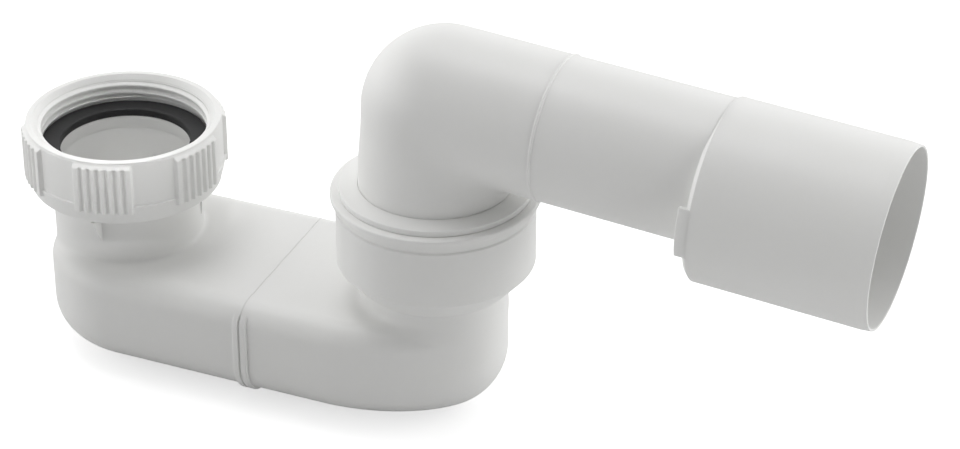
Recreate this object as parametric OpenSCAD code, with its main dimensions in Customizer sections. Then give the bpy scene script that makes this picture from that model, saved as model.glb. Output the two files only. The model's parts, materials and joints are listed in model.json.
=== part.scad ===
// Flat-bodied plastic waste trap: a union nut and washer on the inlet, a low U-shaped
// water seal welded from two mouldings, and a swivelling outlet elbow with a stepped
// tailpipe. Millimetres, +Z up. The origin is the centre of the union nut's mouth, and
// +X runs from the inlet towards the outlet.

/* [Layout] */
// Distance between the inlet axis and the riser axis
riser_x = 96.5; // [92:0.5:120]
// Height of the outlet axis above the nut's mouth, where it meets the riser axis
outlet_z = 27; // [25:0.5:40]
// Fall of the outlet pipe, in degrees below level
outlet_fall = 4.2; // [0:0.1:5]

/* [Union nut] */
// Radius of the pipe thread's crests on the mating tail
thread_r = 23.9; // [23:0.1:25]
// Height of the nut
nut_h = 20; // [18:0.5:26]
// Radius of the plain panels between the grips
nut_panel_r = 27.7; // [27:0.1:29]
// Radius over the grip ridges
nut_grip_r = 28.9; // [28.4:0.1:30]
// Number of grips round the nut
grip_count = 6; // [4:1:8]
// Number of ridges in one grip
ridge_count = 7; // [5:1:9]
// Angle between neighbouring ridges of a grip
ridge_pitch = 5.6; // [4.5:0.1:6]
// Depth of the grooves between ridges
groove_depth = 0.8; // [0.4:0.1:1.1]
// Height of the plain collar under the grips
nut_collar_h = 3.4; // [2:0.1:4]
// Radius at the foot of the collar
nut_foot_r = 26.2; // [25.4:0.1:27]
// Thickness of the floor that catches the neck's flange
nut_floor = 3; // [2:0.1:5]
// Turn of the nut about its axis, in degrees
nut_turn = 47; // [0:1:60]

/* [Inlet washer] */
// Thickness of the washer
washer_t = 2.4; // [1.5:0.1:3]
// Radius of the hole in the washer
washer_bore_r = 18.4; // [17.5:0.1:19.5]
// Depth of the washer's face below the nut's mouth
washer_depth = 7.6; // [6:0.1:9]

/* [Inlet neck] */
// Outer radius of the neck
neck_r = 21.2; // [20.8:0.1:21.6]
// Thickness of the flange at the top of the neck
flange_t = 3; // [2:0.1:4]
// Radius of the flange
flange_r = 23; // [22.6:0.1:23.4]
// Number of fins that stop the nut from sliding down
fin_count = 4; // [2:1:6]
// Length of a fin
fin_h = 7.5; // [4:0.5:9]
// How far a fin stands out from the neck
fin_out = 1.5; // [1:0.1:2.5]
// Thickness of a fin
fin_t = 1.2; // [0.8:0.1:2]

/* [Trap body] */
// Wall thickness of the body, the neck and the riser
body_wall = 2.4; // [1.8:0.1:2.8]
// Half of the body's width
body_half_w = 24; // [23:0.5:27]
// Height of the body's flat top, below the nut's mouth
body_top_z = -30.2; // [-33:0.5:-29]
// Height of the body's flat bottom
body_bottom_z = -68.7; // [-76:0.5:-66]
// Radius of the long edges along the top
top_edge_r = 13; // [8:0.5:14]
// Radius of the long edges along the bottom
bottom_edge_r = 9.5; // [5:0.5:12]
// Radius of the body's inlet end, seen from above
end_r = 23.2; // [22.5:0.1:24]
// Radius of the top edge round the inlet end
shoulder_r = 20; // [14:0.5:21]
// Radius of the bottom edge round the inlet end
heel_r = 10.5; // [8:0.5:14]
// Distance from the inlet axis to the weld
weld_x = 47; // [44:0.5:52]
// Distance from the inlet axis over which the body keeps its full section
full_to_x = 86; // [75:1:90]
// How far the weld flanges stand proud
weld_proud = 0.9; // [0.4:0.1:1.5]
// Thickness of one weld flange
weld_flange_t = 1.4; // [0.8:0.1:2]
// Width of the groove between the two weld flanges
weld_groove = 0.4; // [0.2:0.1:0.8]

/* [Riser and socket] */
// Outer radius of the riser
riser_r = 20; // [19:0.1:20.6]
// Radius of the bottom edge under the riser
bowl_r = 17; // [14:0.5:19]
// Room between the elbow's leg and the socket, filled by the seal
seal_room = 4.1; // [3.5:0.1:5]
// Wall thickness of the socket
socket_wall = 2.2; // [1.8:0.1:2.6]
// Height of the socket's foot, below the nut's mouth
socket_bottom_z = -23; // [-24:0.1:-21]
// Length of the cone between the socket and the riser
cone_h = 6.6; // [5:0.1:8]
// Height of the socket's rim above the nut's mouth
rim_z = 0.2; // [-0.5:0.1:1]
// How far the rim stands out from the socket
rim_out = 1.4; // [0.9:0.1:2.5]
// Thickness of the rim
rim_t = 1.8; // [1.2:0.1:2.5]
// Height of the slightly narrower band under the rim
band_h = 4.6; // [3:0.1:6]

/* [Seal and retaining ring] */
// Height of the rubber seal
seal_h = 8; // [6:0.5:10]
// Height of the retaining ring's plug in the socket
plug_h = 4.5; // [3:0.1:6]
// Rise of the ring's face from its edge to the tube
ring_rise = 1; // [0.5:0.1:2]

/* [Outlet] */
// Outer radius of the elbow's leg
leg_r = 21.2; // [20.6:0.1:21.8]
// Depth of the elbow's leg in the socket, below the rim
leg_depth = 20; // [16:0.5:21]
// Outer radius of the outlet pipe
pipe_r = 20; // [19:0.1:20.4]
// Wall thickness of the elbow and the pipe
pipe_wall = 2.4; // [1.8:0.1:3]
// Height up to which the elbow's leg is straight, above the nut's mouth
leg_top_z = 2; // [1.5:0.5:12]
// Distance from the riser axis to the elbow's weld, along the pipe
elbow_len = 35; // [32:0.5:45]
// Distance from the riser axis to the step, along the pipe
step_at = 80; // [60:0.5:90]
// Length of the wide spigot
spigot_len = 49.8; // [40:0.1:60]
// Outer radius of the wide spigot
spigot_r = 25; // [24.5:0.1:25.4]
// Wall thickness of the wide spigot
spigot_wall = 1.8; // [1.4:0.1:2.4]
// Length of the slight lead-in at the spigot's mouth
lead_len = 3; // [1.5:0.1:5]
// Bevel on the edge of the step
step_bevel = 1.2; // [0.5:0.1:2]
// Length of the lug that stands on the step
lug_len = 1.9; // [1.5:0.1:4]
// Width of the lug
lug_w = 13.5; // [8:0.5:16]
// Thickness of the lug
lug_t = 2; // [1.4:0.1:3]

/* [Hidden] */
$fn = 96;

// Overlap that makes a cut pass clean through a face
eps = 0.5;
// Play of a part that turns on another
run_gap = 0.05;
// Play of a part that sits loosely inside another
loose_gap = 0.3;

// Heights inside the nut
washer_top_z = -washer_depth;
flange_top_z = washer_top_z - washer_t;
flange_bottom_z = flange_top_z - flange_t;
nut_bottom_z = -nut_h;
nut_floor_top_z = nut_bottom_z + nut_floor;
grip_bottom_z = nut_bottom_z + nut_collar_h;
nut_rim_h = 1.2;
nut_rim_r = nut_panel_r - 0.2;
ridge_t = 1.5;
thread_h = washer_depth - 0.1;
thread_relief = 0.4;
washer_r = thread_r - 0.1;
neck_bore_r = neck_r - body_wall;
fin_top_z = nut_bottom_z - loose_gap;
branch_depth = 16;
branch_foot_z = body_top_z - branch_depth;

// The riser, the socket and what it holds
riser_bore_r = riser_r - body_wall;
socket_bore_r = leg_r + seal_room;
socket_r = socket_bore_r + socket_wall;
rim_r = socket_r + rim_out;
socket_floor_z = rim_z - leg_depth - 1;
cone_bottom_z = socket_bottom_z - cone_h;
cone_foot_r = riser_r + 1.6;
bowl_top_r = 6;
weld_top_z = body_top_z - top_edge_r / 4;
band_r = socket_r - 0.5;
ring_face_z = rim_z - 0.4;
plug_bottom_z = ring_face_z - plug_h;
plug_r = socket_bore_r - run_gap;
seal_bottom_z = plug_bottom_z - seal_h;
leg_bottom_z = rim_z - leg_depth;

// The elbow and the pipe
pipe_bore_r = pipe_r - pipe_wall;
step_drop = spigot_r - pipe_r;
spigot_bore_r = spigot_r - spigot_wall;
spigot_end = step_at + spigot_len;
step_wall = 2.4;
lug_angle = 88;
lug_r = spigot_r - loose_gap;

// Cross-section of the body as seen along X: a flat box with round long edges. inset
// draws the same section further in, for the hollow.
module body_section(inset, half_w, edge_r, foot_r) {
    w = half_w - inset;
    top = body_top_z - inset;
    bottom = body_bottom_z + inset;
    rt = max(edge_r - inset, 1);
    rb = max(foot_r - inset, 1);
    for (side = [-1, 1]) {
        translate([side * (w - rt), top - rt]) circle(rt);
        translate([side * (w - rb), bottom + rb]) circle(rb);
    }
    translate([-(w - rt), bottom + rb]) square([2 * (w - rt), top - bottom - rb]);
    translate([-(w - rb), bottom]) square([2 * (w - rb), top - bottom - rt]);
    translate([-w, bottom + rb]) square([2 * w, top - bottom - rt - rb]);
}

// Half of a section, turned about the upright axis
module section_turn(inset, half_w, edge_r, foot_r) {
    rotate_extrude() intersection() {
        body_section(inset, half_w, edge_r, foot_r);
        translate([0, body_bottom_z - eps])
            square([half_w + eps, body_top_z - body_bottom_z + 2 * eps]);
    }
}

// A length of the body's full section along X
module section_bar(from_x, to_x, inset = 0) {
    translate([from_x, 0, 0])
        rotate([90, 0, 90])
            linear_extrude(to_x - from_x)
                body_section(inset, body_half_w, top_edge_r, bottom_edge_r);
}

// Inlet end and straight run of the body
module inlet_body(inset = 0, reach = weld_x) {
    hull() {
        section_bar(0, reach, inset, $fn = 40);
        section_turn(inset, end_r, shoulder_r, heel_r, $fn = 56);
    }
}

// Outlet end: the flat section sweeps into the round bowl under the riser
module outlet_body(inset = 0, reach = weld_x) {
    hull() {
        section_bar(reach, full_to_x, inset, $fn = 40);
        translate([riser_x, 0, 0])
            section_turn(inset, riser_r, bowl_top_r, bowl_r, $fn = 56);
    }
}

// Bead of one weld flange, round the front, the bottom and the back
module weld_flange(from_x, to_x) {
    intersection() {
        translate([from_x, 0, 0])
            rotate([90, 0, 90])
                linear_extrude(to_x - from_x)
                    body_section(-weld_proud, body_half_w, top_edge_r, bottom_edge_r);
        translate([from_x - eps, -2 * body_half_w, body_bottom_z - 2 * weld_proud])
            cube([to_x - from_x + 2 * eps, 4 * body_half_w,
                  weld_top_z - body_bottom_z + 2 * weld_proud]);
    }
}

// Fin on the neck: upright at the top, run out in an arc below
module neck_fin() {
    translate([neck_r - 0.4, fin_t / 2, 0])
        rotate([90, 0, 0])
            linear_extrude(fin_t)
                intersection() {
                    translate([0, fin_top_z - fin_h]) square([fin_out + 0.4, fin_h]);
                    translate([fin_out + 0.4 - fin_h, fin_top_z]) circle(fin_h);
                }
}

module union_nut() {
    color("#e4e4e2")
    rotate([0, 0, nut_turn])
    difference() {
        union() {
            rotate_extrude() polygon([
                [neck_r + loose_gap, nut_bottom_z],
                [nut_foot_r, nut_bottom_z],
                [nut_foot_r + 0.9, nut_bottom_z + 1],
                [nut_panel_r + 0.6, grip_bottom_z],
                [nut_panel_r, grip_bottom_z + 1.6],
                [nut_panel_r, -nut_rim_h],
                [nut_rim_r, -0.5],
                [nut_rim_r - 0.4, 0],
                [thread_r, 0],
                [thread_r, -thread_h],
                [thread_r + thread_relief, -thread_h],
                [thread_r + thread_relief, nut_floor_top_z],
                [neck_r + loose_gap, nut_floor_top_z]
            ]);
            for (group = [0 : grip_count - 1])
                rotate([0, 0, group * 360 / grip_count]) grip();
        }
        translate([0, 0, nut_floor_top_z]) cylinder(r = thread_r, h = nut_h);
    }
}

// One grip of the nut: a raised pad with ridges
module grip() {
    pad_half = (ridge_count - 1) / 2 * ridge_pitch;
    rotate([0, 0, -pad_half])
        rotate_extrude(angle = 2 * pad_half)
            translate([nut_panel_r - 1, grip_bottom_z])
                square([nut_grip_r - groove_depth - nut_panel_r + 1, -nut_rim_h - grip_bottom_z]);
    for (ridge = [0 : ridge_count - 1])
        rotate([0, 0, -pad_half + ridge * ridge_pitch]) grip_ridge();
}

// A ridge with a sloping top and foot
module grip_ridge() {
    rotate([90, 0, 0])
        linear_extrude(ridge_t, center = true)
            polygon([
                [nut_panel_r - 1, grip_bottom_z],
                [nut_grip_r - 0.6, grip_bottom_z],
                [nut_grip_r, grip_bottom_z + 0.8],
                [nut_grip_r, -nut_rim_h - 1.4],
                [nut_grip_r - 1, -nut_rim_h],
                [nut_panel_r - 1, -nut_rim_h]
            ]);
}

module inlet_washer() {
    color("#1c1c1c")
    translate([0, 0, flange_top_z])
    difference() {
        cylinder(r = washer_r, h = washer_t);
        translate([0, 0, -eps]) cylinder(r = washer_bore_r, h = washer_t + 2 * eps);
    }
}

module inlet_half() {
    color("#e8e8e6")
    difference() {
        union() {
            inlet_body();
            translate([0, 0, branch_foot_z]) cylinder(r = neck_r, h = flange_top_z - branch_foot_z);
            translate([0, 0, flange_bottom_z]) cylinder(r = flange_r, h = flange_t);
            weld_flange(weld_x - weld_flange_t - weld_groove / 2, weld_x - weld_groove / 2);
            for (fin = [0 : fin_count - 1])
                rotate([0, 0, fin * 360 / fin_count]) neck_fin();
        }
        inlet_body(body_wall, weld_x + eps);
        translate([0, 0, branch_foot_z])
            cylinder(r = neck_bore_r, h = flange_top_z - branch_foot_z + eps);
    }
}

module outlet_half() {
    color("#e8e8e6")
    difference() {
        union() {
            outlet_body();
            translate([riser_x, 0, 0]) riser_shell();
            weld_flange(weld_x + weld_groove / 2, weld_x + weld_flange_t + weld_groove / 2);
        }
        outlet_body(body_wall, weld_x - eps);
        translate([riser_x, 0, branch_foot_z])
            cylinder(r = riser_bore_r, h = rim_z - branch_foot_z + eps);
        translate([riser_x, 0, socket_floor_z])
            cylinder(r = socket_bore_r, h = rim_z - socket_floor_z + eps);
    }
}

// Riser, cone and socket, before boring
module riser_shell() {
    rotate_extrude() polygon([
        [0, branch_foot_z],
        [riser_r, branch_foot_z],
        [riser_r, cone_bottom_z - 1.2],
        [cone_foot_r, cone_bottom_z],
        [socket_r, socket_bottom_z],
        [socket_r, rim_z - rim_t - band_h - 0.6],
        [band_r, rim_z - rim_t - band_h],
        [band_r, rim_z - rim_t - 0.6],
        [rim_r - 0.3, rim_z - rim_t],
        [rim_r, rim_z - rim_t + 0.4],
        [rim_r, rim_z - 0.8],
        [rim_r - 0.8, rim_z],
        [0, rim_z]
    ]);
}

module socket_seal() {
    lip = 1.6;
    color("#202020")
    translate([riser_x, 0, 0])
    rotate_extrude() polygon([
        [leg_r + run_gap, seal_bottom_z + 0.8],
        [leg_r + lip, seal_bottom_z],
        [socket_bore_r - run_gap, seal_bottom_z],
        [socket_bore_r - run_gap, plug_bottom_z],
        [leg_r + lip, plug_bottom_z],
        [leg_r + run_gap, plug_bottom_z - 2]
    ]);
}

module retaining_ring() {
    color("#ececea")
    translate([riser_x, 0, 0])
    rotate_extrude() polygon([
        [leg_r + run_gap, plug_bottom_z],
        [plug_r, plug_bottom_z],
        [plug_r, ring_face_z - 0.6],
        [plug_r - 0.4, ring_face_z],
        [leg_r + run_gap, ring_face_z + ring_rise]
    ]);
}

// Places its children on the outlet axis, with +Z along the pipe
module along_pipe(s) {
    translate([0, 0, outlet_z])
        rotate([0, 90 + outlet_fall, 0])
            translate([0, 0, s]) children();
}

// The elbow's outer form, or its waterway when inset is the wall: a leg that tapers to
// the pipe's size, a ball at the corner and the falling run
module elbow_form(inset, over) {
    translate([0, 0, leg_bottom_z - over])
        cylinder(r = leg_r - inset, h = leg_top_z - leg_bottom_z + over);
    translate([0, 0, leg_top_z])
        cylinder(r1 = leg_r - inset, r2 = pipe_r - inset, h = outlet_z - leg_top_z);
    translate([0, 0, outlet_z]) sphere(pipe_r - inset);
    along_pipe(0) cylinder(r = pipe_r - inset, h = elbow_len + over);
}

module outlet_elbow() {
    color("#e8e8e6")
    translate([riser_x, 0, 0])
    difference() {
        elbow_form(0, 0);
        elbow_form(pipe_wall, eps);
    }
}

module outlet_tailpipe() {
    color("#e8e8e6")
    translate([riser_x, 0, 0])
    difference() {
        union() {
            along_pipe(elbow_len) cylinder(r = pipe_r, h = step_at + step_wall - elbow_len);
            along_pipe(step_at) translate([step_drop, 0, 0]) spigot_shell();
            lug();
        }
        along_pipe(elbow_len - eps)
            cylinder(r = pipe_bore_r, h = step_at + step_wall - elbow_len + 2 * eps);
        along_pipe(step_at + step_wall) translate([step_drop, 0, 0])
            cylinder(r = spigot_bore_r, h = spigot_len);
    }
}

// Wide spigot, before boring, with a bevelled step and a lead-in at the mouth
module spigot_shell() {
    rotate_extrude() polygon([
        [0, 0],
        [spigot_r - step_bevel, 0],
        [spigot_r, step_bevel],
        [spigot_r, spigot_len - lead_len],
        [spigot_r - 0.3, spigot_len],
        [0, spigot_len]
    ]);
}

// Lug on the face of the step, on the near side
module lug() {
    along_pipe(step_at - lug_len) translate([step_drop, 0, 0])
        rotate([0, 0, -lug_angle])
            intersection() {
                difference() {
                    cylinder(r = lug_r, h = lug_len + step_bevel);
                    translate([0, 0, -eps])
                        cylinder(r = lug_r - lug_t, h = lug_len + step_bevel + 2 * eps);
                }
                translate([0, -lug_w / 2, -eps])
                    cube([lug_r + eps, lug_w, lug_len + step_bevel + 2 * eps]);
            }
}

union_nut();
inlet_washer();
inlet_half();
outlet_half();
socket_seal();
retaining_ring();
outlet_elbow();
outlet_tailpipe();
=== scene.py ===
# %% [markdown]
# A plastic waste trap, dressed for its portrait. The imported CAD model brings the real
# sizes, the bodies and the joints, and every piece made below sits in that same frame.
# The CAD solids are right in size but plain: their edges are sharp, their blends are
# facets and the nut has no thread. So each moulding gets a softer skin of its own, with
# the rounded edges, the weld and the thread that real moulded plastic shows.
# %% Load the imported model
import json
import math

import bmesh
import bpy
import numpy as np
from mathutils import Matrix, Vector


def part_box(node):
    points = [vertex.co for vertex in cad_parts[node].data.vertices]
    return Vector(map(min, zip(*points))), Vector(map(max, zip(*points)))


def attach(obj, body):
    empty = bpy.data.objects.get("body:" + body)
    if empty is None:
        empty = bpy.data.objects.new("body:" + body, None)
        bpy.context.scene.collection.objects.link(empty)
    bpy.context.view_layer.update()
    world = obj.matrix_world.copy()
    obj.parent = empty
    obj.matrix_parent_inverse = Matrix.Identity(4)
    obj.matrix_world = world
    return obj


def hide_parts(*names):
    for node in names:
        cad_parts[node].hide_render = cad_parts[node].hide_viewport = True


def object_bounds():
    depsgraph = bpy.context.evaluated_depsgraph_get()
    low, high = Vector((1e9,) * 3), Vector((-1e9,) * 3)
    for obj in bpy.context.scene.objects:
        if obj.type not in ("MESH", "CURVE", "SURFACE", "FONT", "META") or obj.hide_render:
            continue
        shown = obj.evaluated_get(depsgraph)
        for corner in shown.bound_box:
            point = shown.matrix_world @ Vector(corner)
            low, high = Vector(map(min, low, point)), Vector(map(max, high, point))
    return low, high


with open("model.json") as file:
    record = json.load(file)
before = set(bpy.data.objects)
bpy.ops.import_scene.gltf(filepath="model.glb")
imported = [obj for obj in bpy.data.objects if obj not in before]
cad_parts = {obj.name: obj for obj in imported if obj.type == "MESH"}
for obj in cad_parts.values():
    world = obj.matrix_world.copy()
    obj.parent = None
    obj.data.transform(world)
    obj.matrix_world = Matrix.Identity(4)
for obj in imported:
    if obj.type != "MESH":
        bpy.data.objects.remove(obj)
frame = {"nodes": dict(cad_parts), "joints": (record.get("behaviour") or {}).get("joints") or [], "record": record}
cad_low, cad_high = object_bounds()
print("CAD box in mm:", [round(v * 1000) for v in (*cad_low, *cad_high)])

# %% [markdown]
# Plumbing is measured in millimetres, and Blender works in metres, so every size below
# is written in millimetres and one factor turns a finished mesh into metres. The main
# places come from the frame itself: where the elbow turns, how high each moulding
# reaches, and how far the pipe falls. A change of the CAD then moves the pieces too.
# %% Read the main places from the frame
MM = 0.001
swivel = next(joint for joint in frame["joints"] if joint["name"] == "elbow_swivel")
outlet_mount = next(m for m in frame["record"]["mounts"] if m["name"] == "outlet")


def node_box(node):
    """Lowest and highest corner of a CAD node, in millimetres."""
    low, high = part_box(node)
    return np.array(low) / MM, np.array(high) / MM


riser_x = swivel["pos_m"][0] / MM
pipe_axis = np.array(outlet_mount["axis"])
fall = math.atan2(-pipe_axis[2], pipe_axis[0])
mount_point = np.array(outlet_mount["pos_m"]) / MM
nut_bottom_z = node_box("union_nut")[0][2]
washer_top_z = node_box("inlet_washer")[1][2]
flange_top_z = node_box("inlet_half")[1][2]
rim_z = node_box("outlet_half")[1][2]
print(f"riser axis at x {riser_x:.1f}, pipe falls {math.degrees(fall):.1f} degrees")

# %% [markdown]
# The whole object is moulded polypropylene with two rubber parts, so two recipes of
# material are enough. Shader maths is easier to read as sums than as lists of nodes. The
# small class below wraps one output of a node, and adding or multiplying two wrapped
# outputs adds the Math node that does it. Everything else goes through one method that
# takes a node's kind, its settings and what goes into its sockets.
# %% Write shader maths as Python
class Wire:
    """One output of a node, ready for sums."""

    def __init__(self, paint, socket):
        self.paint = paint
        self.socket = socket

    def maths(self, operation, first, second):
        return self.paint.add("ShaderNodeMath", {"operation": operation}, {0: first, 1: second})

    def __add__(self, other):
        return self.maths("ADD", self, other)

    def __radd__(self, other):
        return self.maths("ADD", other, self)

    def __sub__(self, other):
        return self.maths("SUBTRACT", self, other)

    def __rsub__(self, other):
        return self.maths("SUBTRACT", other, self)

    def __mul__(self, other):
        return self.maths("MULTIPLY", self, other)

    def __rmul__(self, other):
        return self.maths("MULTIPLY", other, self)


class Paint:
    """A material that grows node by node round its Principled shader."""

    def __init__(self, name):
        self.material = bpy.data.materials.new(name)
        self.material.use_nodes = True
        self.tree = self.material.node_tree
        self.shader = self.tree.nodes["Principled BSDF"]

    def add(self, kind, settings=None, sockets=None, output=0):
        """Adds a node: settings first, then the values or links of its sockets."""
        node = self.tree.nodes.new(kind)
        for name, value in (settings or {}).items():
            if name == "stops":
                self.set_stops(node.color_ramp, value)
            else:
                setattr(node, name, value)
        for name, value in (sockets or {}).items():
            self.plug(node.inputs[name], value)
        return Wire(self, node.outputs[output])

    def set_stops(self, ramp, stops):
        while len(ramp.elements) < len(stops):
            ramp.elements.new(1.0)
        for element, (place, grey) in zip(ramp.elements, stops):
            element.position = place
            element.color = (grey, grey, grey, 1.0)

    def plug(self, socket, value):
        """Links a wire to a socket, or sets a plain value on it."""
        if isinstance(value, Wire):
            self.tree.links.new(value.socket, socket)
        else:
            socket.default_value = value

    def coat(self, **sockets):
        """Sets the shader's own sockets, with underscores for the spaces in their names."""
        for name, value in sockets.items():
            self.plug(self.shader.inputs[name.replace("_", " ")], value)

# %% [markdown]
# White polypropylene leaves its mould with a soft, slightly uneven sheen: no grain to
# speak of, but faint clouds in the tone, a gloss that changes from place to place and
# very shallow waves where the wall has cooled. Four noises at different scales do that.
# The changes are kept small, because a clean plastic part looks false when they show.
# %% Mix the white plastic
def white_plastic(name, tone, roughness):
    paint = Paint(name)
    place = paint.add("ShaderNodeTexCoord", output="Object")
    clouds = paint.add("ShaderNodeTexNoise", {}, {"Vector": place, "Scale": 38.0, "Detail": 2.0})
    flecks = paint.add("ShaderNodeTexNoise", {}, {"Vector": place, "Scale": 620.0, "Detail": 3.0})
    waves = paint.add("ShaderNodeTexNoise", {}, {"Vector": place, "Scale": 75.0, "Detail": 1.0})
    skin_grain = paint.add("ShaderNodeTexNoise", {}, {"Vector": place, "Scale": 3200.0, "Detail": 2.0})
    dull = [0.955 * channel for channel in tone[:2]] + [0.94 * tone[2]]
    mixed = paint.add(
        "ShaderNodeMix",
        {"data_type": "RGBA"},
        {0: clouds * 0.7 + flecks * 0.3, 6: (*tone, 1.0), 7: (*dull, 1.0)},
        output=2,
    )
    relief = paint.add(
        "ShaderNodeBump",
        {},
        {"Height": waves + skin_grain * 0.05, "Strength": 0.35, "Distance": 0.00012},
    )
    paint.coat(
        Base_Color=mixed,
        Roughness=roughness + (clouds - 0.5) * 0.12 + (flecks - 0.5) * 0.1,
        Normal=relief,
        IOR=1.49,
        Subsurface_Weight=0.15,
        Subsurface_Radius=(1.0, 1.0, 1.0),
        Subsurface_Scale=0.002,
        Specular_IOR_Level=0.42,
    )
    print(name, "is ready with", len(paint.tree.nodes), "nodes")
    return paint.material


body_white = white_plastic("body_plastic", (0.86, 0.86, 0.852), 0.40)
nut_white = white_plastic("nut_plastic", (0.875, 0.875, 0.867), 0.43)

# %% [markdown]
# The washer and the seal are black rubber. Rubber scatters what little light it returns,
# so it is nearly matt, and its mould leaves a fine pebbled skin that catches a grey haze.
# %% Mix the black rubber
def black_rubber(name):
    paint = Paint(name)
    place = paint.add("ShaderNodeTexCoord", output="Object")
    pebbles = paint.add("ShaderNodeTexNoise", {}, {"Vector": place, "Scale": 1500.0, "Detail": 3.0})
    bloom = paint.add("ShaderNodeTexNoise", {}, {"Vector": place, "Scale": 120.0, "Detail": 3.0})
    mixed = paint.add(
        "ShaderNodeMix",
        {"data_type": "RGBA"},
        {0: bloom, 6: (0.009, 0.009, 0.01, 1.0), 7: (0.017, 0.017, 0.018, 1.0)},
        output=2,
    )
    relief = paint.add("ShaderNodeBump", {}, {"Height": pebbles, "Strength": 0.4, "Distance": 0.00008})
    paint.coat(Base_Color=mixed, Roughness=0.5 + bloom * 0.2, Normal=relief, IOR=1.5)
    print(name, "is ready with", len(paint.tree.nodes), "nodes")
    return paint.material


rubber = black_rubber("seal_rubber")
node_finishes = {"union_nut": nut_white, "inlet_washer": rubber, "socket_seal": rubber}
for name, node in frame["nodes"].items():
    node.data.materials.clear()
    node.data.materials.append(node_finishes.get(name, body_white))
print("finished", len(frame["nodes"]), "CAD nodes")

# %% [markdown]
# Every piece below is a shell: points, faces and one normal per point. A formula knows
# the exact direction of its own surface, so the normals are worked out with the points
# and handed to Blender. Flats then stay flat and small roundings catch a clean light,
# without any guess from the angles between faces.
# %% Join shells into one piece
class Shell:
    """Points in millimetres, the faces between them and a normal for each point."""

    def __init__(self, points, faces, normals):
        self.points = np.asarray(points, float)
        self.faces = [tuple(int(i) for i in face) for face in faces]
        self.normals = np.asarray(normals, float)

    def moved(self, turn, place):
        """The same shell, turned by a 3 x 3 matrix and then carried to a place."""
        turn = np.asarray(turn, float)
        return Shell(self.points @ turn.T + place, self.faces, self.normals @ turn.T)


def make_piece(name, shells, body, node, material):
    """Makes one object from shells, which stands for a CAD node and rides on its body."""
    points, faces, normals = [], [], []
    count = 0
    for shell in shells:
        faces += [tuple(i + count for i in face) for face in shell.faces]
        points.append(shell.points)
        normals.append(shell.normals)
        count += len(shell.points)
    mesh = bpy.data.meshes.new(name)
    mesh.from_pydata((np.concatenate(points) * MM).tolist(), [], faces)
    mesh.update()
    mesh.shade_smooth()
    directions = np.concatenate(normals)
    directions /= np.linalg.norm(directions, axis=1, keepdims=True)
    mesh.normals_split_custom_set_from_vertices(directions.tolist())
    mesh.materials.append(material)
    piece = bpy.data.objects.new(name, mesh)
    bpy.context.scene.collection.objects.link(piece)
    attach(piece, body)
    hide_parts(node)
    triangles = sum(len(face) - 2 for face in faces)
    print(f"{name}: {len(shells)} shells, {triangles} triangles")
    return piece


# %% [markdown]
# A turned part is an outline spun round an axis. The outline is given by its corners,
# each with the radius that rounds it, because a moulded edge is never truly sharp. Each
# corner becomes a short arc, and the normal turns along the arc from one flat to the next.
# %% Turn a rounded outline round an axis
def rounded_outline(corners, arc_steps=4):
    """Points and outward normals of a closed outline, given clockwise with z up.

    Each corner is a radius, a height and the rounding of that corner."""
    spots, normals = [], []
    for index, (radius, height, rounding) in enumerate(corners):
        here = np.array((radius, height), float)
        before = np.array(corners[index - 1][:2], float) - here
        after = np.array(corners[(index + 1) % len(corners)][:2], float) - here
        reach_in, reach_out = np.linalg.norm(before), np.linalg.norm(after)
        before /= reach_in
        after /= reach_out
        half_angle = math.acos(np.clip(before @ after, -1, 1)) / 2
        setback = min(rounding / math.tan(half_angle), 0.49 * reach_in, 0.49 * reach_out)
        normal_in = np.array((before[1], -before[0]))
        normal_out = np.array((-after[1], after[0]))
        start, end = here + before * setback, here + after * setback
        for step in range(arc_steps + 1):
            share = step / arc_steps
            normal = normal_in * (1 - share) + normal_out * share
            normal /= np.linalg.norm(normal)
            bulge = (1 - share) ** 2 * start + 2 * share * (1 - share) * here + share**2 * end
            spots.append(bulge)
            normals.append(normal)
    return np.array(spots), np.array(normals)


def turned(corners, turns=192, arc_steps=4):
    """A closed outline spun round the z axis."""
    spots, flat = rounded_outline(corners, arc_steps)
    angle = np.linspace(0, 2 * np.pi, turns, endpoint=False)[:, None]
    cosine, sine = np.cos(angle), np.sin(angle)
    points = np.stack([spots[:, 0] * cosine, spots[:, 0] * sine, spots[:, 1] + 0 * angle], -1)
    normals = np.stack([flat[:, 0] * cosine, flat[:, 0] * sine, flat[:, 1] + 0 * angle], -1)
    return grid_shell(points, normals)


def grid_shell(points, normals):
    """A shell from a grid of points that closes on itself in both directions."""
    rows, columns = points.shape[:2]
    number = np.arange(rows * columns).reshape(rows, columns)
    right_of, below = np.roll(number, -1, 0), np.roll(number, -1, 1)
    corner = np.roll(right_of, -1, 1)
    faces = np.stack([number, below, corner, right_of], -1).reshape(-1, 4)
    return Shell(points.reshape(-1, 3), faces, normals.reshape(-1, 3))


# %% [markdown]
# The body and the elbow are not turned parts. Tubes run into a flat-sided channel there,
# and the mould maker's cutter has left a soft fillet in each valley. Such a form is easy
# to describe by a distance: a function that says how far a point is outside the plastic.
# Two forms join by taking the smaller distance, and a fillet is a smooth smaller one.
# The skin is then found on a grid: each cell that the surface crosses gets one point,
# and the point slides along the slope of the distance until it lies on the surface.
# %% Find the skin of a distance
SKIN_STEP = 0.8
SLOPE_STEP = 0.02


def slope_of(distance, points):
    """Direction in which the distance grows fastest, at each point."""
    parts = []
    for axis in range(3):
        shift = np.zeros(3)
        shift[axis] = SLOPE_STEP
        parts.append(distance(*(points + shift).T) - distance(*(points - shift).T))
    return np.stack(parts, -1) / (2 * SLOPE_STEP)


def slide_onto(distance, points, rounds):
    """Moves points along the slope until the distance is nothing."""
    for _ in range(rounds):
        slope = slope_of(distance, points)
        length = np.maximum((slope * slope).sum(-1), 0.2)
        points = points - slope * (distance(*points.T) / length)[:, None]
    return points


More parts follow.
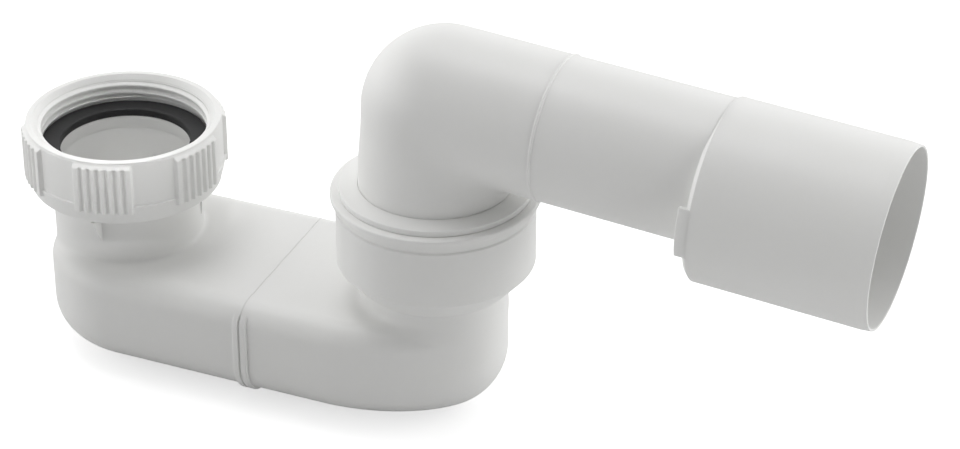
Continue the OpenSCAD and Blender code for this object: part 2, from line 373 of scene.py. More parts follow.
def skin(distance, low, high):
    """Points and quads of the surface where the distance is nothing."""
    ticks = [np.arange(a, b + SKIN_STEP, SKIN_STEP) for a, b in zip(low, high)]
    solid = distance(*np.meshgrid(*ticks, indexing="ij", sparse=True)) < 0
    size = np.array(solid.shape) - 1
    inside = np.zeros(size, int)
    for corner in np.ndindex(2, 2, 2):
        inside += solid[tuple(slice(c, c + s) for c, s in zip(corner, size))]
    crossed = (inside > 0) & (inside < 8)
    number = (np.cumsum(crossed) - 1).reshape(crossed.shape)
    points = np.array(low) + (np.argwhere(crossed) + 0.5) * SKIN_STEP
    quads = []
    for axis in range(3):
        order = [axis, (axis + 1) % 3, (axis + 2) % 3]
        filled = solid.transpose(order)[:, 1:-1, 1:-1]
        cell = number.transpose(order)
        ring = [cell[:, :-1, :-1], cell[:, 1:, :-1], cell[:, 1:, 1:], cell[:, :-1, 1:]]
        for leaving in (True, False):
            first = filled[:-1] if leaving else ~filled[:-1]
            second = ~filled[1:] if leaving else filled[1:]
            found = np.stack([part[first & second] for part in ring], -1)
            quads.append(found if leaving else found[:, ::-1])
    quads = np.concatenate(quads)
    points = slide_onto(distance, points, 3)
    for _ in range(2):
        points = slide_onto(distance, evened(points, quads), 1)
    return points, quads


def evened(points, quads):
    """Moves each point towards the middle of its neighbours, so that the quads even out."""
    total, count = np.zeros_like(points), np.zeros(len(points))
    for side in range(4):
        np.add.at(total, quads[:, side], points[quads[:, (side + 1) % 4]])
        np.add.at(total, quads[:, (side + 1) % 4], points[quads[:, side]])
        np.add.at(count, quads[:, side], 1)
        np.add.at(count, quads[:, (side + 1) % 4], 1)
    return 0.5 * points + 0.5 * total / count[:, None]


# %% [markdown]
# A skin still lacks its true ends: where the two halves were welded, and where a tube
# stops, the plastic is cut square. So each skin is made a little too long, sliced at a
# plane, and the rim between its outside and its waterway is closed with flat faces.
# %% Slice a skin and close the cuts
def cut_skin(distance, low, high, cuts):
    """The skin of a distance, cut square at planes given by a place and a direction."""
    points, quads = skin(distance, low, high)
    work = bmesh.new()
    corners = [work.verts.new(point) for point in points]
    for quad in quads:
        work.faces.new([corners[i] for i in quad])
    lids = {}
    for place, direction in cuts:
        everything = [*work.verts, *work.edges, *work.faces]
        cut = bmesh.ops.bisect_plane(
            work, geom=everything, plane_co=place, plane_no=direction, clear_outer=True
        )
        rim = [part for part in cut["geom_cut"] if isinstance(part, bmesh.types.BMEdge)]
        filled = bmesh.ops.triangle_fill(work, edges=rim, normal=direction)
        for part in filled["geom"]:
            if isinstance(part, bmesh.types.BMFace):
                lids[part] = np.array(direction, float)
    work.verts.index_update()
    points = [tuple(corner.co) for corner in work.verts]
    normals = list(slope_of(distance, np.array(points)))
    faces = [[v.index for v in face.verts] for face in work.faces if face not in lids]
    copies = {}
    for face, direction in lids.items():
        face.normal_update()
        loop = [v.index for v in face.verts]
        if np.array(face.normal) @ direction < 0:
            loop.reverse()
        for index in loop:
            if index not in copies:
                copies[index] = len(points)
                points.append(points[index])
                normals.append(direction)
        faces.append([copies[index] for index in loop])
    work.free()
    return Shell(points, faces, normals)

# %% [markdown]
# The channel between the inlet and the riser is a flat-sided trough with big rounded
# edges. Seen from above it ends in a half circle under the neck, and it narrows into the
# round bowl under the riser. Think of a disc that slides along the middle, with a ball
# rolled round its edge: a small ball along the straight sides, a larger one round the
# bowl. The channel is all that disc and ball can fill. Its distance is the smallest one
# over all places of the disc, and that place is found in three rounds: a coarse look
# round the point, and then the bottom of a parabola, twice.
# %% Describe the channel
body_wall = 2.4
body_top_z = -35.6
body_bottom_z = -65.2
half_width = 29.3
inlet_centre_x = 7.6
riser_r = 20.0
bowl_run = 24.0
bowl_drop = 2.9
top_ball = 6.1
bottom_ball = 11.4
bowl_ball = 17.5
coarse_places = (-24.0, -18.0, -12.0, -6.0, 0.0, 4.0)


def past_edge(x, y, beyond, edge, place):
    """Distance outside the disc and ball that stand at one place along the channel.

    beyond says how far a point lies beyond the flat top or bottom."""
    place = np.clip(place, inlet_centre_x, riser_x)
    to_bowl = np.maximum(1 - (riser_x - place) / bowl_run, 0) ** 2
    width = half_width + (riser_r - half_width) * to_bowl
    ball = top_ball
    if edge == "bottom":
        ball = bottom_ball + (bowl_ball - bottom_ball) * to_bowl
        beyond = beyond - bowl_drop * to_bowl
    plan = np.hypot(x - place, y) - (width - ball)
    over = beyond + ball
    rolled = np.hypot(np.maximum(plan, 0), np.maximum(over, 0)) - ball
    return rolled + np.minimum(np.maximum(plan, over), 0)


def past_edges(x, y, beyond, edge):
    """Distance outside a channel that has no end on its other side."""
    x, y, beyond = np.broadcast_arrays(x, y, beyond)
    nearest = np.full(x.shape, np.inf)
    place = x
    for shift in coarse_places:
        distance = past_edge(x, y, beyond, edge, x + shift)
        place = np.where(distance < nearest, x + shift, place)
        nearest = np.minimum(distance, nearest)
    for reach in (3.0, 1.0):
        place = np.clip(place, inlet_centre_x + reach, riser_x - reach)
        before, here, after = (
            past_edge(x, y, beyond, edge, place + shift) for shift in (-reach, 0, reach)
        )
        bend = np.maximum(before + after - 2 * here, 1e-6)
        place = place + np.clip((before - after) / (2 * bend), -2, 2) * reach
    return past_edge(x, y, beyond, edge, place)


def channel(x, y, z):
    """Distance outside the channel."""
    under_top = past_edges(x, y, z - body_top_z, "top")
    over_bottom = past_edges(x, y, body_bottom_z - z, "bottom")
    return np.maximum(under_top, over_bottom)


def eased(share):
    """A share from 0 to 1, with a soft start and a soft end."""
    share = np.clip(share, 0, 1)
    return share * share * (3 - 2 * share)


def filleted(first, second, fillet):
    """The nearer of two distances, with a fillet in the valley between them."""
    fillet = np.maximum(fillet, 0.01)
    overlap = np.maximum(fillet - np.abs(first - second), 0) / fillet
    return np.minimum(first, second) - overlap * overlap * fillet / 4


# %% [markdown]
# The neck and the riser are plain tubes that stand in the channel. Where they meet it
# the mould has a small fillet. It fades to nothing where the channel's side stands
# upright, because tube and channel are flush there. The two halves were moulded apart
# and welded on an upright plane that is turned a little, so both are cut on that plane.
# %% Stand the neck and the riser in the channel
neck_r = 21.2
neck_fillet = 1.2
riser_fillet = 3.0
tube_foot_z = body_top_z - 16
weld_x = node_box("inlet_half")[1][0] + 2.2
weld_skew = 0.02
seam_gap = 0.08


def tube(x, y, z, centre_x, radius):
    """Distance outside an upright tube that is closed in the channel and open above."""
    return np.maximum(np.hypot(x - centre_x, y) - radius, tube_foot_z - z)


def trap_skin(x, y, z):
    """Distance outside the plastic of the whole channel, its neck and its riser."""
    trough = channel(x, y, z)
    height = eased((z - body_top_z) / top_ball + 1)
    outside = filleted(trough, tube(x, y, z, 0, neck_r), neck_fillet * height)
    outside = filleted(outside, tube(x, y, z, riser_x, riser_r), riser_fillet * height)
    waterway = np.minimum(trough + body_wall, tube(x, y, z, 0, neck_r - body_wall))
    waterway = np.minimum(waterway, tube(x, y, z, riser_x, riser_r - body_wall))
    return np.maximum(outside, -waterway)


neck_cut_z = flange_top_z - 1.5
riser_cut_z = body_top_z + 7.0
inlet_skin = cut_skin(
    trap_skin,
    (inlet_centre_x - half_width - 2, -half_width - 2, body_bottom_z - 2),
    (weld_x + 4, half_width + 2, neck_cut_z + 3),
    [((weld_x - seam_gap / 2, 0, 0), (1, weld_skew, 0)), ((0, 0, neck_cut_z), (0, 0, 1))],
)
outlet_skin = cut_skin(
    trap_skin,
    (weld_x - 4, -half_width - 2, body_bottom_z - bowl_drop - 2),
    (riser_x + riser_r + 2, half_width + 2, riser_cut_z + 3),
    [((weld_x + seam_gap / 2, 0, 0), (-1, -weld_skew, 0)), ((0, 0, riser_cut_z), (0, 0, 1))],
)
print("skins of the two halves:", len(inlet_skin.faces), "and", len(outlet_skin.faces), "faces")

# %% [markdown]
# The two halves were welded with a hot plate. Each half has a thin flange round its
# front, bottom and back, and a narrow groove stays between the two. A flange is a small
# rounded section, swept along the outline of the channel. Its ends sink into the top edge.
# %% Sweep a section along a path
def swept(path, across, outward, section, lift=None):
    """A closed section carried along an open path.

    path holds places. across and outward hold the section's two directions at each
    place, and lift moves the section outwards there. The section is a rounded outline."""
    spots, flat = section
    lift = np.zeros(len(path)) if lift is None else lift
    height = spots[None, :, 1] + lift[:, None]
    points = path[:, None] + spots[None, :, 0, None] * across[:, None]
    points = points + height[..., None] * outward[:, None]
    normals = flat[None, :, 0, None] * across[:, None] + flat[None, :, 1, None] * outward[:, None]
    rows, columns = points.shape[:2]
    number = np.arange(rows * columns).reshape(rows, columns)
    ahead, beside = number[1:], np.roll(number, -1, 1)
    faces = np.stack([number[:-1], ahead, beside[1:], beside[:-1]], -1).reshape(-1, 4).tolist()
    points, normals = points.reshape(-1, 3), normals.reshape(-1, 3)
    start = np.cross(outward[0], across[0])
    if start @ (path[1] - path[0]) > 0:
        faces = [face[::-1] for face in faces]
    for row, toward in ((0, path[0] - path[1]), (rows - 1, path[-1] - path[-2])):
        lid = list(range(len(points), len(points) + columns))
        points = np.concatenate([points, points[number[row]]])
        normals = np.concatenate([normals, np.repeat(toward[None] / np.linalg.norm(toward), columns, 0)])
        turning = np.cross(points[lid[1]] - points[lid[0]], points[lid[columns // 2]] - points[lid[0]])
        faces.append(lid if turning @ toward > 0 else lid[::-1])
    return Shell(points, faces, normals)


# %% Run the two weld flanges round the channel
flange_width = 1.8
flange_proud = 0.85
flange_root = 0.7
weld_groove = 0.55
groove_depth = 0.45
weld_sink = 4.0


def channel_outline(spacing):
    """Places and outward directions round the channel's section, from front top to back top."""
    top_r, foot_r = top_ball, bottom_ball
    top_arc = math.radians(50)
    places, directions = [], []

    def arc(side, centre_z, radius, start, end):
        steps = max(int(radius * abs(end - start) / spacing), 4)
        for angle in np.linspace(start, end, steps):
            outward = np.array((0, side * math.cos(angle), math.sin(angle)))
            centre = np.array((0, side * (half_width - radius), centre_z))
            places.append(centre + radius * outward)
            directions.append(outward)

    arc(-1, body_top_z - top_r, top_r, top_arc, 0)
    arc(-1, body_bottom_z + foot_r, foot_r, 0, -math.pi / 2)
    arc(1, body_bottom_z + foot_r, foot_r, -math.pi / 2, 0)
    arc(1, body_top_z - top_r, top_r, 0, top_arc)
    return np.array(places), np.array(directions)


def weld_flange(side):
    """One weld flange: side is -1 on the inlet's half and 1 on the outlet's."""
    places, outward = channel_outline(0.8)
    places[:, 0] = weld_x - weld_skew * places[:, 1]
    gone = np.concatenate([[0], np.cumsum(np.linalg.norm(np.diff(places, axis=0), axis=1))])
    nearest_end = np.minimum(gone, gone[-1] - gone)
    lift = -(flange_proud + 0.1) * (1 - eased(nearest_end / weld_sink))
    across = np.cross(np.gradient(places, axis=0), outward)
    across /= np.linalg.norm(across, axis=1, keepdims=True)
    near, far = weld_groove / 2, weld_groove / 2 + flange_width
    profile = [
        (seam_gap / 2, -flange_root, 0.05),
        (seam_gap / 2, flange_proud - groove_depth, 0.05),
        (near, flange_proud - groove_depth, 0.05),
        (near, flange_proud, 0.25),
        (far, flange_proud, 0.5),
        (far, -flange_root, 0.1),
    ]
    if side < 0:
        profile = [(-place, height, rounding) for place, height, rounding in profile[::-1]]
    return swept(places, across, outward, rounded_outline(profile), lift)


inlet_flange = weld_flange(-1)
outlet_flange = weld_flange(1)
print("each weld flange has", len(inlet_flange.faces), "faces")

# %% [markdown]
# Four small fins stand on the neck just under the nut and keep it from sliding down.
# Each is a thin upright rib whose outer edge runs back to the neck. The one towards the
# outlet is fuller and stands on the flat top of the body.
# %% Stand four fins on the neck
fin_top_z = nut_bottom_z - 0.3
fin_width = 1.0
steep_fin = {"out": 5.5, "height": 8.8, "bulge": 1.15}
full_fin = {"out": 0.8, "height": 10.0, "bulge": 2.4}


def neck_fin(degrees, out, height, bulge):
    """A fin that faces along an angle. A larger bulge keeps its edge upright for longer."""
    angle = math.radians(degrees)
    drop = np.linspace(0, height, 24)
    edge = out * (1 - (drop / height) ** bulge) ** (1 / bulge) - 0.2
    outward = np.array((math.cos(angle), math.sin(angle), 0))
    sideways = np.array((-math.sin(angle), math.cos(angle), 0))
    path = neck_r * outward + np.stack([0 * drop, 0 * drop, fin_top_z - drop], -1)
    half = fin_width / 2
    section = rounded_outline([(-half, -7, 0.1), (-half, 0, 0.35), (half, 0, 0.35), (half, -7, 0.1)])
    rows = len(drop)
    return swept(path, np.tile(sideways, (rows, 1)), np.tile(outward, (rows, 1)), section, edge)


fins = [
    neck_fin(-83, **steep_fin),
    neck_fin(14, **full_fin),
    neck_fin(97, **steep_fin),
    neck_fin(180, **full_fin),
]
print(len(fins), "fins stand on the neck")

# %% [markdown]
# The neck ends in a flange, on which the washer lies and under which the nut turns. The
# riser ends in a wide socket: a cone, a plain band, a slightly narrower band and a rim
# that overhangs it. Both are turned parts, and both start inside the wall of their tube,
# so that no face of one lies in a face of the other.
# %% Turn the flange and the socket
neck_bore_r = neck_r - body_wall
flange_r = 23.0
flange_bottom_z = flange_top_z - 3.0
flange_ring = turned([
    (neck_bore_r - 0.05, flange_bottom_z - 1, 0.2),
    (neck_bore_r - 0.05, flange_top_z, 0.4),
    (flange_r, flange_top_z, 0.4),
    (flange_r, flange_bottom_z, 0.5),
    (neck_r - 0.8, flange_bottom_z, 0.2),
    (neck_r - 0.8, flange_bottom_z - 1, 0.2),
])

socket_bore_r = node_box("retaining_ring")[1][1] + 0.05
socket_r = socket_bore_r + 2.2
rim_r = socket_r + 1.4
riser_bore_r = riser_r - body_wall
socket_floor_z = rim_z - 21.0
socket_bottom_z = -23.0
rim_top_z = rim_z - 1.9
cone_foot_r = riser_r + 1.6
cone_foot_z = socket_bottom_z - 6.6
socket = turned([
    (riser_bore_r - 0.05, riser_cut_z - 2.5, 0.2),
    (riser_bore_r - 0.05, socket_floor_z, 0.3),
    (socket_bore_r, socket_floor_z, 0.6),
    (socket_bore_r, rim_top_z, 0.3),
    (rim_r, rim_top_z, 0.6),
    (rim_r, rim_top_z - 1.6, 0.4),
    (socket_r - 0.5, rim_top_z - 1.9, 0.7),
    (socket_r - 0.5, rim_z - 6.6, 0.3),
    (socket_r, rim_z - 7.0, 0.35),
    (socket_r, socket_bottom_z, 0.6),
    (cone_foot_r, cone_foot_z, 0.7),
    (riser_r - 0.4, cone_foot_z - 1.3, 0.3),
    (riser_r - 0.4, riser_cut_z - 2.5, 0.2),
]).moved(np.eye(3), (riser_x, 0, 0))

inlet_moulding = make_piece(
    "inlet_moulding",
    [inlet_skin, inlet_flange, flange_ring, *fins],
    "trap",
    "inlet_half",
    body_white,
)
outlet_moulding = make_piece(
    "outlet_moulding",
    [outlet_skin, outlet_flange, socket],
    "trap",
    "outlet_half",
    body_white,
)

# %% [markdown]
# A white ring is pressed into the socket over the rubber seal. Its flange lies on the
# socket's rim and stands a little proud of it, and its face rises gently towards the leg.
# %% Turn the retaining ring and the washer
ring_low, ring_high = node_box("retaining_ring")
ring_out_r = (ring_high[1] - ring_low[1]) / 2
leg_r = 21.2
ring_in_r = leg_r + 0.05
ring_flange_r = 26.5
ring_edge_z = ring_high[2] - 0.8
retaining_ring = make_piece(
    "retaining_ring_turned",
    [turned([
        (ring_in_r, ring_low[2], 0.3),
        (ring_in_r, ring_high[2], 0.25),
        (ring_in_r + 0.9, ring_high[2] - 0.1, 0.4),
        (ring_flange_r, ring_edge_z, 0.35),
        (ring_flange_r, rim_top_z + 0.01, 0.2),
        (ring_out_r, rim_top_z + 0.01, 0.05),
        (ring_out_r, ring_low[2], 0.3),
    ]).moved(np.eye(3), (riser_x, 0, 0))],
    "trap",
    "retaining_ring",
    body_white,
)

washer_low, washer_high = node_box("inlet_washer")
washer_bore_r = 18.4
inlet_washer = make_piece(
    "inlet_washer_turned",
    [turned([
        (washer_bore_r, washer_low[2], 0.4),
        (washer_bore_r, washer_high[2], 0.5),
        (washer_high[1], washer_high[2], 0.4),
        (washer_high[1], washer_low[2], 0.4),
    ])],
    "trap",
    "inlet_washer",
    rubber,
)

# %% [markdown]
# The outlet turns in the socket on a leg, bends tightly and leaves on a falling run. The
# bend is so tight that its inside is a mitre, and the mould maker has softened that
# crease a little. Here the distance is taken from the middle line of the tube: a straight
# leg, a small arc and a straight run. The fillet in the crease grows with the depth of
# the mitre and is nothing at the tube's sides, where the two tubes flow into each other.
# %% Describe the elbow
pipe_r = 20.0
pipe_wall = 2.4
spigot_r = outlet_mount["dims"]["r_mm"]
step_drop = spigot_r - pipe_r
bend_r = 3.5
mitre_fillet = 6.0
elbow_length = 35.0
leg_top_z = 2.0
leg_foot_z = node_box("outlet_elbow")[0][2]
pipe_along = np.array((math.cos(fall), 0, -math.sin(fall)))
pipe_up = np.array((math.sin(fall), 0, math.cos(fall)))
along_to_mount = (mount_point[0] - riser_x + step_drop * math.sin(fall)) / math.cos(fall)
corner_z = mount_point[2] + along_to_mount * math.sin(fall) + step_drop * math.cos(fall)
bend_reach = bend_r * math.tan((math.pi / 2 + fall) / 2)
bend_z = corner_z - bend_reach


def elbow_form(x, y, z, inset):
    """Distance outside the elbow's tube, or outside its waterway."""
    x, z = x - riser_x, z - corner_z
    along = x * pipe_along[0] + z * pipe_along[2]
    height = x * pipe_up[0] + z * pipe_up[2]
    taper = (leg_r - pipe_r) * (1 - eased((z + corner_z - leg_top_z) / (bend_z - leg_top_z)))
    leg = np.hypot(x, y) - pipe_r - taper + inset
    run = np.hypot(height, y) - pipe_r + inset
    bend_line = np.hypot(x - bend_r, z + bend_reach) - bend_r
    bend = np.hypot(bend_line, y) - pipe_r + inset
    in_leg, in_run = z < -bend_reach, along > bend_reach
    depth = (x - bend_r) - (z + bend_reach)
    crease = filleted(leg, run, mitre_fillet * np.clip(depth / pipe_r, 0, 1))
    straight = np.where(in_leg, np.where(in_run, crease, leg), run)
    return np.where(in_leg | in_run, straight, bend)


def elbow_plastic(x, y, z):
    """Distance outside the elbow's plastic."""
    return np.maximum(elbow_form(x, y, z, 0), -elbow_form(x, y, z, pipe_wall))


def on_pipe(distance, drop=0.0):
    """A place on the pipe's middle line, or below it by a drop."""
    return np.array((riser_x, 0, corner_z)) + distance * pipe_along - drop * pipe_up


elbow_skin = cut_skin(
    elbow_plastic,
    (riser_x - leg_r - 2, -leg_r - 2, leg_foot_z - 3),
    (riser_x + elbow_length + 5, leg_r + 2, corner_z + pipe_r + 2),
    [(on_pipe(elbow_length), pipe_along), ((0, 0, leg_foot_z), (0, 0, -1))],
)
outlet_elbow = make_piece(
    "outlet_elbow_moulding", [elbow_skin], "outlet", "outlet_elbow", body_white
)

# %% [markdown]
# The tailpipe is welded to the elbow, which leaves a thin raised line round the joint.
# It then steps out to the wide spigot. The spigot sits lower than the pipe, so that their
# crowns are level and water cannot stand behind the step. A small lug on the face of the
# step marks the joint's place. Pipe and spigot are turned parts on two parallel axes.
# %% Turn the tailpipe
step_at = 80.0
step_wall = 2.4
spigot_end = along_to_mount + 26.0
spigot_length = spigot_end - step_at
spigot_bore_r = spigot_r - 1.8
weld_ridge = 0.28
weld_ridge_width = 0.9
pipe_turn = np.stack([-pipe_up, np.array((0, 1.0, 0)), pipe_along], -1)
in_pipe_wall_r = pipe_r - pipe_wall / 2
pipe_tube = turned([
    (pipe_r - pipe_wall, elbow_length, 0.1),
    (pipe_r - pipe_wall, step_at + step_wall - 0.05, 0.1),
    (pipe_r - 0.3, step_at + step_wall - 0.05, 0.1),
    (pipe_r, step_at + 0.5, 0.1),
    (pipe_r, elbow_length + weld_ridge_width, 0.25),
    (pipe_r + weld_ridge, elbow_length + weld_ridge_width - 0.2, 0.15),
    (pipe_r + weld_ridge, elbow_length + 0.2, 0.15),
    (pipe_r, elbow_length, 0.05),
])
spigot = turned([
    (in_pipe_wall_r, 0, 0.1),
    (in_pipe_wall_r, step_wall, 0.1),
    (spigot_bore_r, step_wall, 0.5),
    (spigot_bore_r, spigot_length - 14.0, 3.0),
    (spigot_r - 0.9, spigot_length, 0.3),
    (spigot_r - 0.25, spigot_length, 0.2),
    (spigot_r, spigot_length - 3.0, 1.0),
    (spigot_r, 1.2, 0.3),
    (spigot_r - 1.2, 0, 0.3),
], turns=256)
on_spigot_axis = np.hypot(spigot.points[:, 0], spigot.points[:, 1]) > in_pipe_wall_r + 0.2
spigot.points[on_spigot_axis, 0] += step_drop


def step_lug():
    """The lug: a short rail that stands on the rim of the step, on its near side."""
    angles = np.radians(np.linspace(71, 105, 24))
    outward = np.stack([np.cos(angles), -np.sin(angles), 0 * angles], -1)
    across = np.tile((0, 0, 1.0), (len(angles), 1))
    section = rounded_outline([
        (-1.9, -2.0, 0.3),
        (-1.9, 0, 0.4),
        (1.4, 0, 0.1),
        (1.4, -2.0, 0.1),
    ])
    return swept(spigot_r * outward + (step_drop, 0, 0), across, outward, section)


tail_place = on_pipe(0)
step_place = on_pipe(step_at)
outlet_tailpipe = make_piece(
    "outlet_tailpipe_moulding",
    [
        pipe_tube.moved(pipe_turn, tail_place),
        spigot.moved(pipe_turn, step_place),
        step_lug().moved(pipe_turn, step_place),
    ],
    "outlet",
    "outlet_tailpipe",
    body_white,
)

# %% [markdown]
# The union nut is one grid of points: its outline, from the rim down the outside and back
# up through the thread, is repeated at many angles. Outside, the angle decides whether
# the wall is a plain panel or one of six raised pads with grooves between seven ridges.
# Below the panels a collar stands out, on a small ledge. Inside, angle and height
# together make a screw: three coarse, rounded turns that a hand can follow.
# %% Shape the grips and the thread
nut_panel_r = 27.7
nut_rim_r = 27.5
rim_width = 1.7
pad_r = 28.9
groove_depth = 0.85
groove_width = 1.15
grip_count = 6
ridge_count = 7
ridge_pitch = math.radians(4.85)
nut_turn = math.radians(45.8)
pad_top_z = -0.7
groove_top_z = -1.3
pad_foot_z = nut_bottom_z + 3.9
ledge_z = nut_bottom_z + 6.4
collar_r = 28.3
thread_root_r = 24.3
thread_depth = 1.0
thread_pitch = 25.4 / 11
thread_top_z = -1.6
thread_end_z = washer_top_z + 0.3
nut_bore_r = neck_r + 0.3
nut_floor_z = nut_bottom_z + 3.0


def wall_radius(angle, z):
    """How far the outside of the nut lies from its axis."""
    spread = 2 * math.pi / grip_count
    local = (angle - nut_turn + spread / 2) % spread - spread / 2
    place = local / ridge_pitch
    half = ridge_count / 2
    to_groove = np.abs(place - np.round(place - 0.5) - 0.5) * ridge_pitch * pad_r
    in_groove = 1 - eased((to_groove - groove_width / 2 + 0.25) / 0.5)
    in_groove = in_groove * (np.abs(place) < half - 0.6) * eased((groove_top_z - z) / 1.2)
    on_pad = 1 - eased((np.abs(place) - half + 0.1) * ridge_pitch * pad_r / 0.5)
    on_pad = on_pad * eased((pad_top_z - z) / 1.3) * eased((z - pad_foot_z) / 0.4)
    under_ledge = eased((ledge_z - z) / 0.3)
    collar = collar_r - 0.23 * np.maximum(ledge_z - z, 0)
    panel = nut_panel_r + (collar - nut_panel_r) * under_ledge
    return panel + (pad_r - groove_depth * in_groove - panel) * on_pad


def thread_height(angle, z):
    """How far the thread stands in from its root."""
    phase = (z / thread_pitch - angle / (2 * math.pi)) % 1
    crest = 1 - eased((np.abs(phase - 0.5) - 0.08) / 0.32)
    ends = eased((thread_top_z + 0.4 - z) / 0.9) * eased((z - thread_end_z) / 0.8)
    return thread_depth * crest * ends


def nut_shell(rows=720):
    """The whole nut as one closed grid."""
    angle = np.linspace(0, 2 * np.pi, rows, endpoint=False)[:, None]
    outer_z = np.concatenate([
        np.linspace(pad_top_z + 0.05, groove_top_z - 1.3, 10),
        np.linspace(groove_top_z - 2.6, ledge_z + 0.4, 7),
        np.linspace(ledge_z, ledge_z - 0.4, 5),
        np.linspace(ledge_z - 1.0, pad_foot_z + 0.6, 3),
        np.linspace(pad_foot_z + 0.45, pad_foot_z - 0.15, 5),
    ])
    inner_z = np.linspace(thread_end_z - 0.2, thread_top_z, 46)
    panel = [(0, height) for height in outer_z]
    screw = [(thread_root_r, height) for height in inner_z]
    foot_r = wall_radius(0.0, nut_bottom_z + 0.7)
    foot, _ = rounded_outline([
        (foot_r, nut_bottom_z + 0.7, 0.3),
        (foot_r - 0.9, nut_bottom_z, 0.3),
        (nut_bore_r, nut_bottom_z, 0.4),
        (nut_bore_r, nut_floor_z, 0.3),
        (thread_root_r, nut_floor_z, 0.5),
        (thread_root_r, thread_end_z - 0.6, 0.2),
    ], 2)
    rim, _ = rounded_outline([
        (thread_root_r, thread_top_z, 0.1),
        (nut_rim_r - rim_width, 0, 0.15),
        (nut_rim_r, 0, 0.35),
        (nut_panel_r, pad_top_z + 0.3, 0.3),
    ], 3)
    outline = np.array([*panel, *foot, *screw, *rim])
    number = np.arange(len(outline))
    first_screw = len(panel) + len(foot)
    on_wall = number < len(panel)
    on_screw = (number >= first_screw) & (number < first_screw + len(screw))
    radius, z = outline[None, :, 0], outline[None, :, 1]
    radius = np.where(on_wall, wall_radius(angle, z), radius)
    radius = radius - np.where(on_screw, thread_height(angle, z), 0)
    points = np.stack([radius * np.cos(angle), radius * np.sin(angle), z + 0 * radius], -1)
    round_way = np.roll(points, -1, 0) - np.roll(points, 1, 0)
    down_way = np.roll(points, -1, 1) - np.roll(points, 1, 1)
    normals = np.cross(down_way, round_way)
    return grid_shell(points, normals)


union_nut = make_piece("union_nut_moulding", [nut_shell()], "nut", "union_nut", nut_white)

# %% [markdown]
# The photograph looks down on the trap at about thirty degrees, from the front and a
# little to the left, through a long lens. A camera that was fitted to the round rims of
# the real object stands at that place, and its frame is the photograph's.
# %% Set up the camera
camera_yaw = math.radians(23.21)
camera_pitch = math.radians(30.43)
camera_place = Vector((392.94, -660.80, 412.11)) * MM
right = Vector((math.cos(camera_yaw), math.sin(camera_yaw), 0))
back = Vector((
    math.sin(camera_yaw) * math.cos(camera_pitch),
    -math.cos(camera_yaw) * math.cos(camera_pitch),
    math.sin(camera_pitch),
))
up = back.cross(right)

camera = bpy.data.objects.new("camera", bpy.data.cameras.new("camera"))
camera.data.sensor_fit = "HORIZONTAL"
camera.data.sensor_width = 36
camera.data.lens = 114.97
camera.data.clip_start = 0.05
camera.data.clip_end = 20
camera.matrix_world = Matrix((
    (right.x, up.x, back.x, camera_place.x),
    (right.y, up.y, back.y, camera_place.y),
    (right.z, up.z, back.z, camera_place.z),
    (0, 0, 0, 1),
))
bpy.context.scene.collection.objects.link(camera)
bpy.context.scene.camera = camera
print("camera stands at", [round(v, 3) for v in camera.location])

# %% [markdown]
# The photograph was taken in a white light tent whose front is open. The tones on the
# round pipes tell where its light came from: two bright walls on the left and the right,
# a bright ceiling, a dimmer back and hardly anything from the photographer's side. The
# world is built from those parts, with soft borders. It is a room, so the light stays as
# it is when the object is seen from elsewhere. A small lamp from the right looks into
# the open spigot. The floor is pale, and for the camera alone it glows a little, so that
# it reads as white and still keeps the object's soft shadow.
# %% Lay the floor and light the scene
floor_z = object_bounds()[0].z
floor_half = 1.6
floor_mesh = bpy.data.meshes.new("floor")
floor_mesh.from_pydata(
    [(x * floor_half, y * floor_half, floor_z) for x, y in ((-1, -1), (1, -1), (1, 1), (-1, 1))],
    [],
    [(0, 1, 2, 3)],
)
floor = bpy.data.objects.new("floor", floor_mesh)
bpy.context.scene.collection.objects.link(floor)

ground = Paint("floor_white")
seen_directly = ground.add("ShaderNodeLightPath", output="Is Camera Ray")
ground.coat(Base_Color=(0.72, 0.72, 0.72, 1.0), Roughness=0.9, Emission_Color=(1.0, 1.0, 1.0, 1.0))
plain = Wire(ground, ground.shader.outputs[0])
glow = ground.add("ShaderNodeEmission", {}, {"Strength": 0.62})
glowing = ground.add("ShaderNodeAddShader", {}, {0: plain, 1: glow})
ground_mix = ground.add("ShaderNodeMixShader", {}, {0: seen_directly, 1: plain, 2: glowing})
ground.plug(ground.tree.nodes["Material Output"].inputs["Surface"], ground_mix)
floor.data.materials.append(ground.material)


class Sky(Paint):
    """The world's own node tree, painted in the same way."""

    def __init__(self, name):
        self.world = bpy.data.worlds.new(name)
        self.world.use_nodes = True
        self.tree = self.world.node_tree
        self.shader = self.tree.nodes["Background"]


camera_side = (math.sin(camera_yaw), -math.cos(camera_yaw), 0.0)
camera_right = (math.cos(camera_yaw), math.sin(camera_yaw), 0.0)
sky = Sky("light_tent")
direction = sky.add("ShaderNodeTexCoord", output="Generated")


def towards(aim):
    """How far the direction of a ray points the same way as an aim."""
    return sky.add("ShaderNodeVectorMath", {"operation": "DOT_PRODUCT"}, {0: direction, 1: aim}, output=1)


def share(wire, start, end):
    """Rises from 0 to 1 while a wire goes from start to end."""
    return sky.add("ShaderNodeMapRange", {"interpolation_type": "SMOOTHSTEP"}, {0: wire, 1: start, 2: end})


def cloth(level):
    return sky.add("ShaderNodeBackground", {}, {"Color": (1.0, 1.0, 1.0, 1.0), "Strength": level})


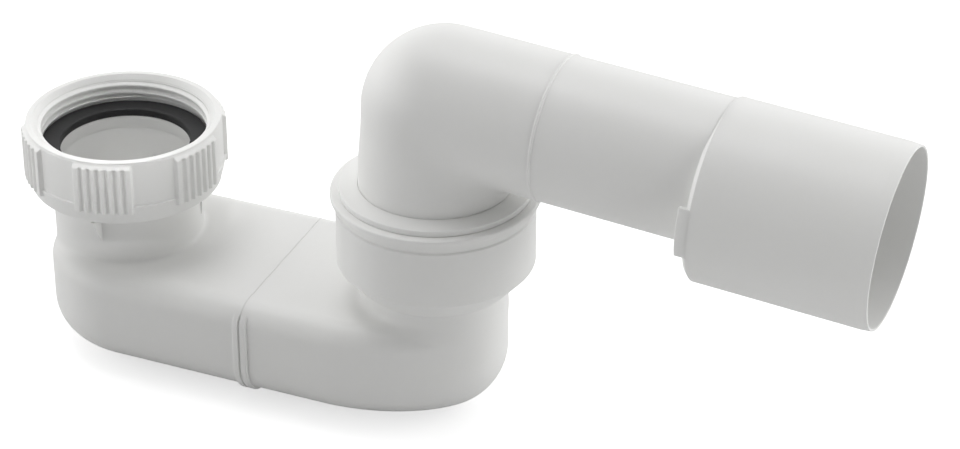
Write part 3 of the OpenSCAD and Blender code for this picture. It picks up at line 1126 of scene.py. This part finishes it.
def covered(factor, first, second):
    return sky.add("ShaderNodeMixShader", {}, {0: factor, 1: first, 2: second})


to_side = towards(camera_right)
off_side = to_side.maths("ABSOLUTE", to_side, 0.0)
tent = covered(share(towards(camera_side), -0.45, 0.1), cloth(1.0), cloth(0.0))
tent = covered(share(off_side, 0.62, 0.88), tent, cloth(1.95))
tent = covered(share(towards((0.0, 0.0, 1.0)), 0.8, 0.95), tent, cloth(0.75))
seen = sky.add("ShaderNodeLightPath", output="Is Camera Ray")
sky.plug(sky.tree.nodes["World Output"].inputs["Surface"], covered(seen, tent, cloth(1.0)))
bpy.context.scene.world = sky.world


def soft_lamp(name, place, target, size, power):
    lamp = bpy.data.lights.new(name, "AREA")
    lamp.shape = "DISK"
    lamp.size = size
    lamp.energy = power
    holder = bpy.data.objects.new(name, lamp)
    holder.location = place
    holder.rotation_mode = "QUATERNION"
    holder.rotation_quaternion = (Vector(target) - Vector(place)).to_track_quat("-Z", "Y")
    bpy.context.scene.collection.objects.link(holder)


def narrow_lamp(name, place, target, spread, power):
    """A lamp whose round beam is only as wide as an angle."""
    lamp = bpy.data.lights.new(name, "SPOT")
    lamp.spot_size = math.radians(spread)
    lamp.spot_blend = 0.5
    lamp.shadow_soft_size = 0.02
    lamp.energy = power
    holder = bpy.data.objects.new(name, lamp)
    holder.location = place
    holder.rotation_mode = "QUATERNION"
    holder.rotation_quaternion = (Vector(target) - Vector(place)).to_track_quat("-Z", "Y")
    bpy.context.scene.collection.objects.link(holder)


centre = (cad_low + cad_high) / 2
washer_centre = Vector((0, 0, -0.012))
from_above = (Vector(camera_side) * 0.55 + Vector((0, 0, 0.84))).normalized()
narrow_lamp("neck_lamp", washer_centre + from_above * 0.45, washer_centre, 4.6, 8.0)
soft_lamp("top_lamp", centre + Vector((-0.3, 0.1, 1.2)), centre, 0.6, 3.0)
soft_lamp("mouth_lamp", centre + Vector((1.0, -0.15, 0.1)), centre, 0.4, 1.7)

scene = bpy.context.scene
scene.view_settings.view_transform = "Standard"
print("floor at", round(floor_z * 1000, 1), "mm")
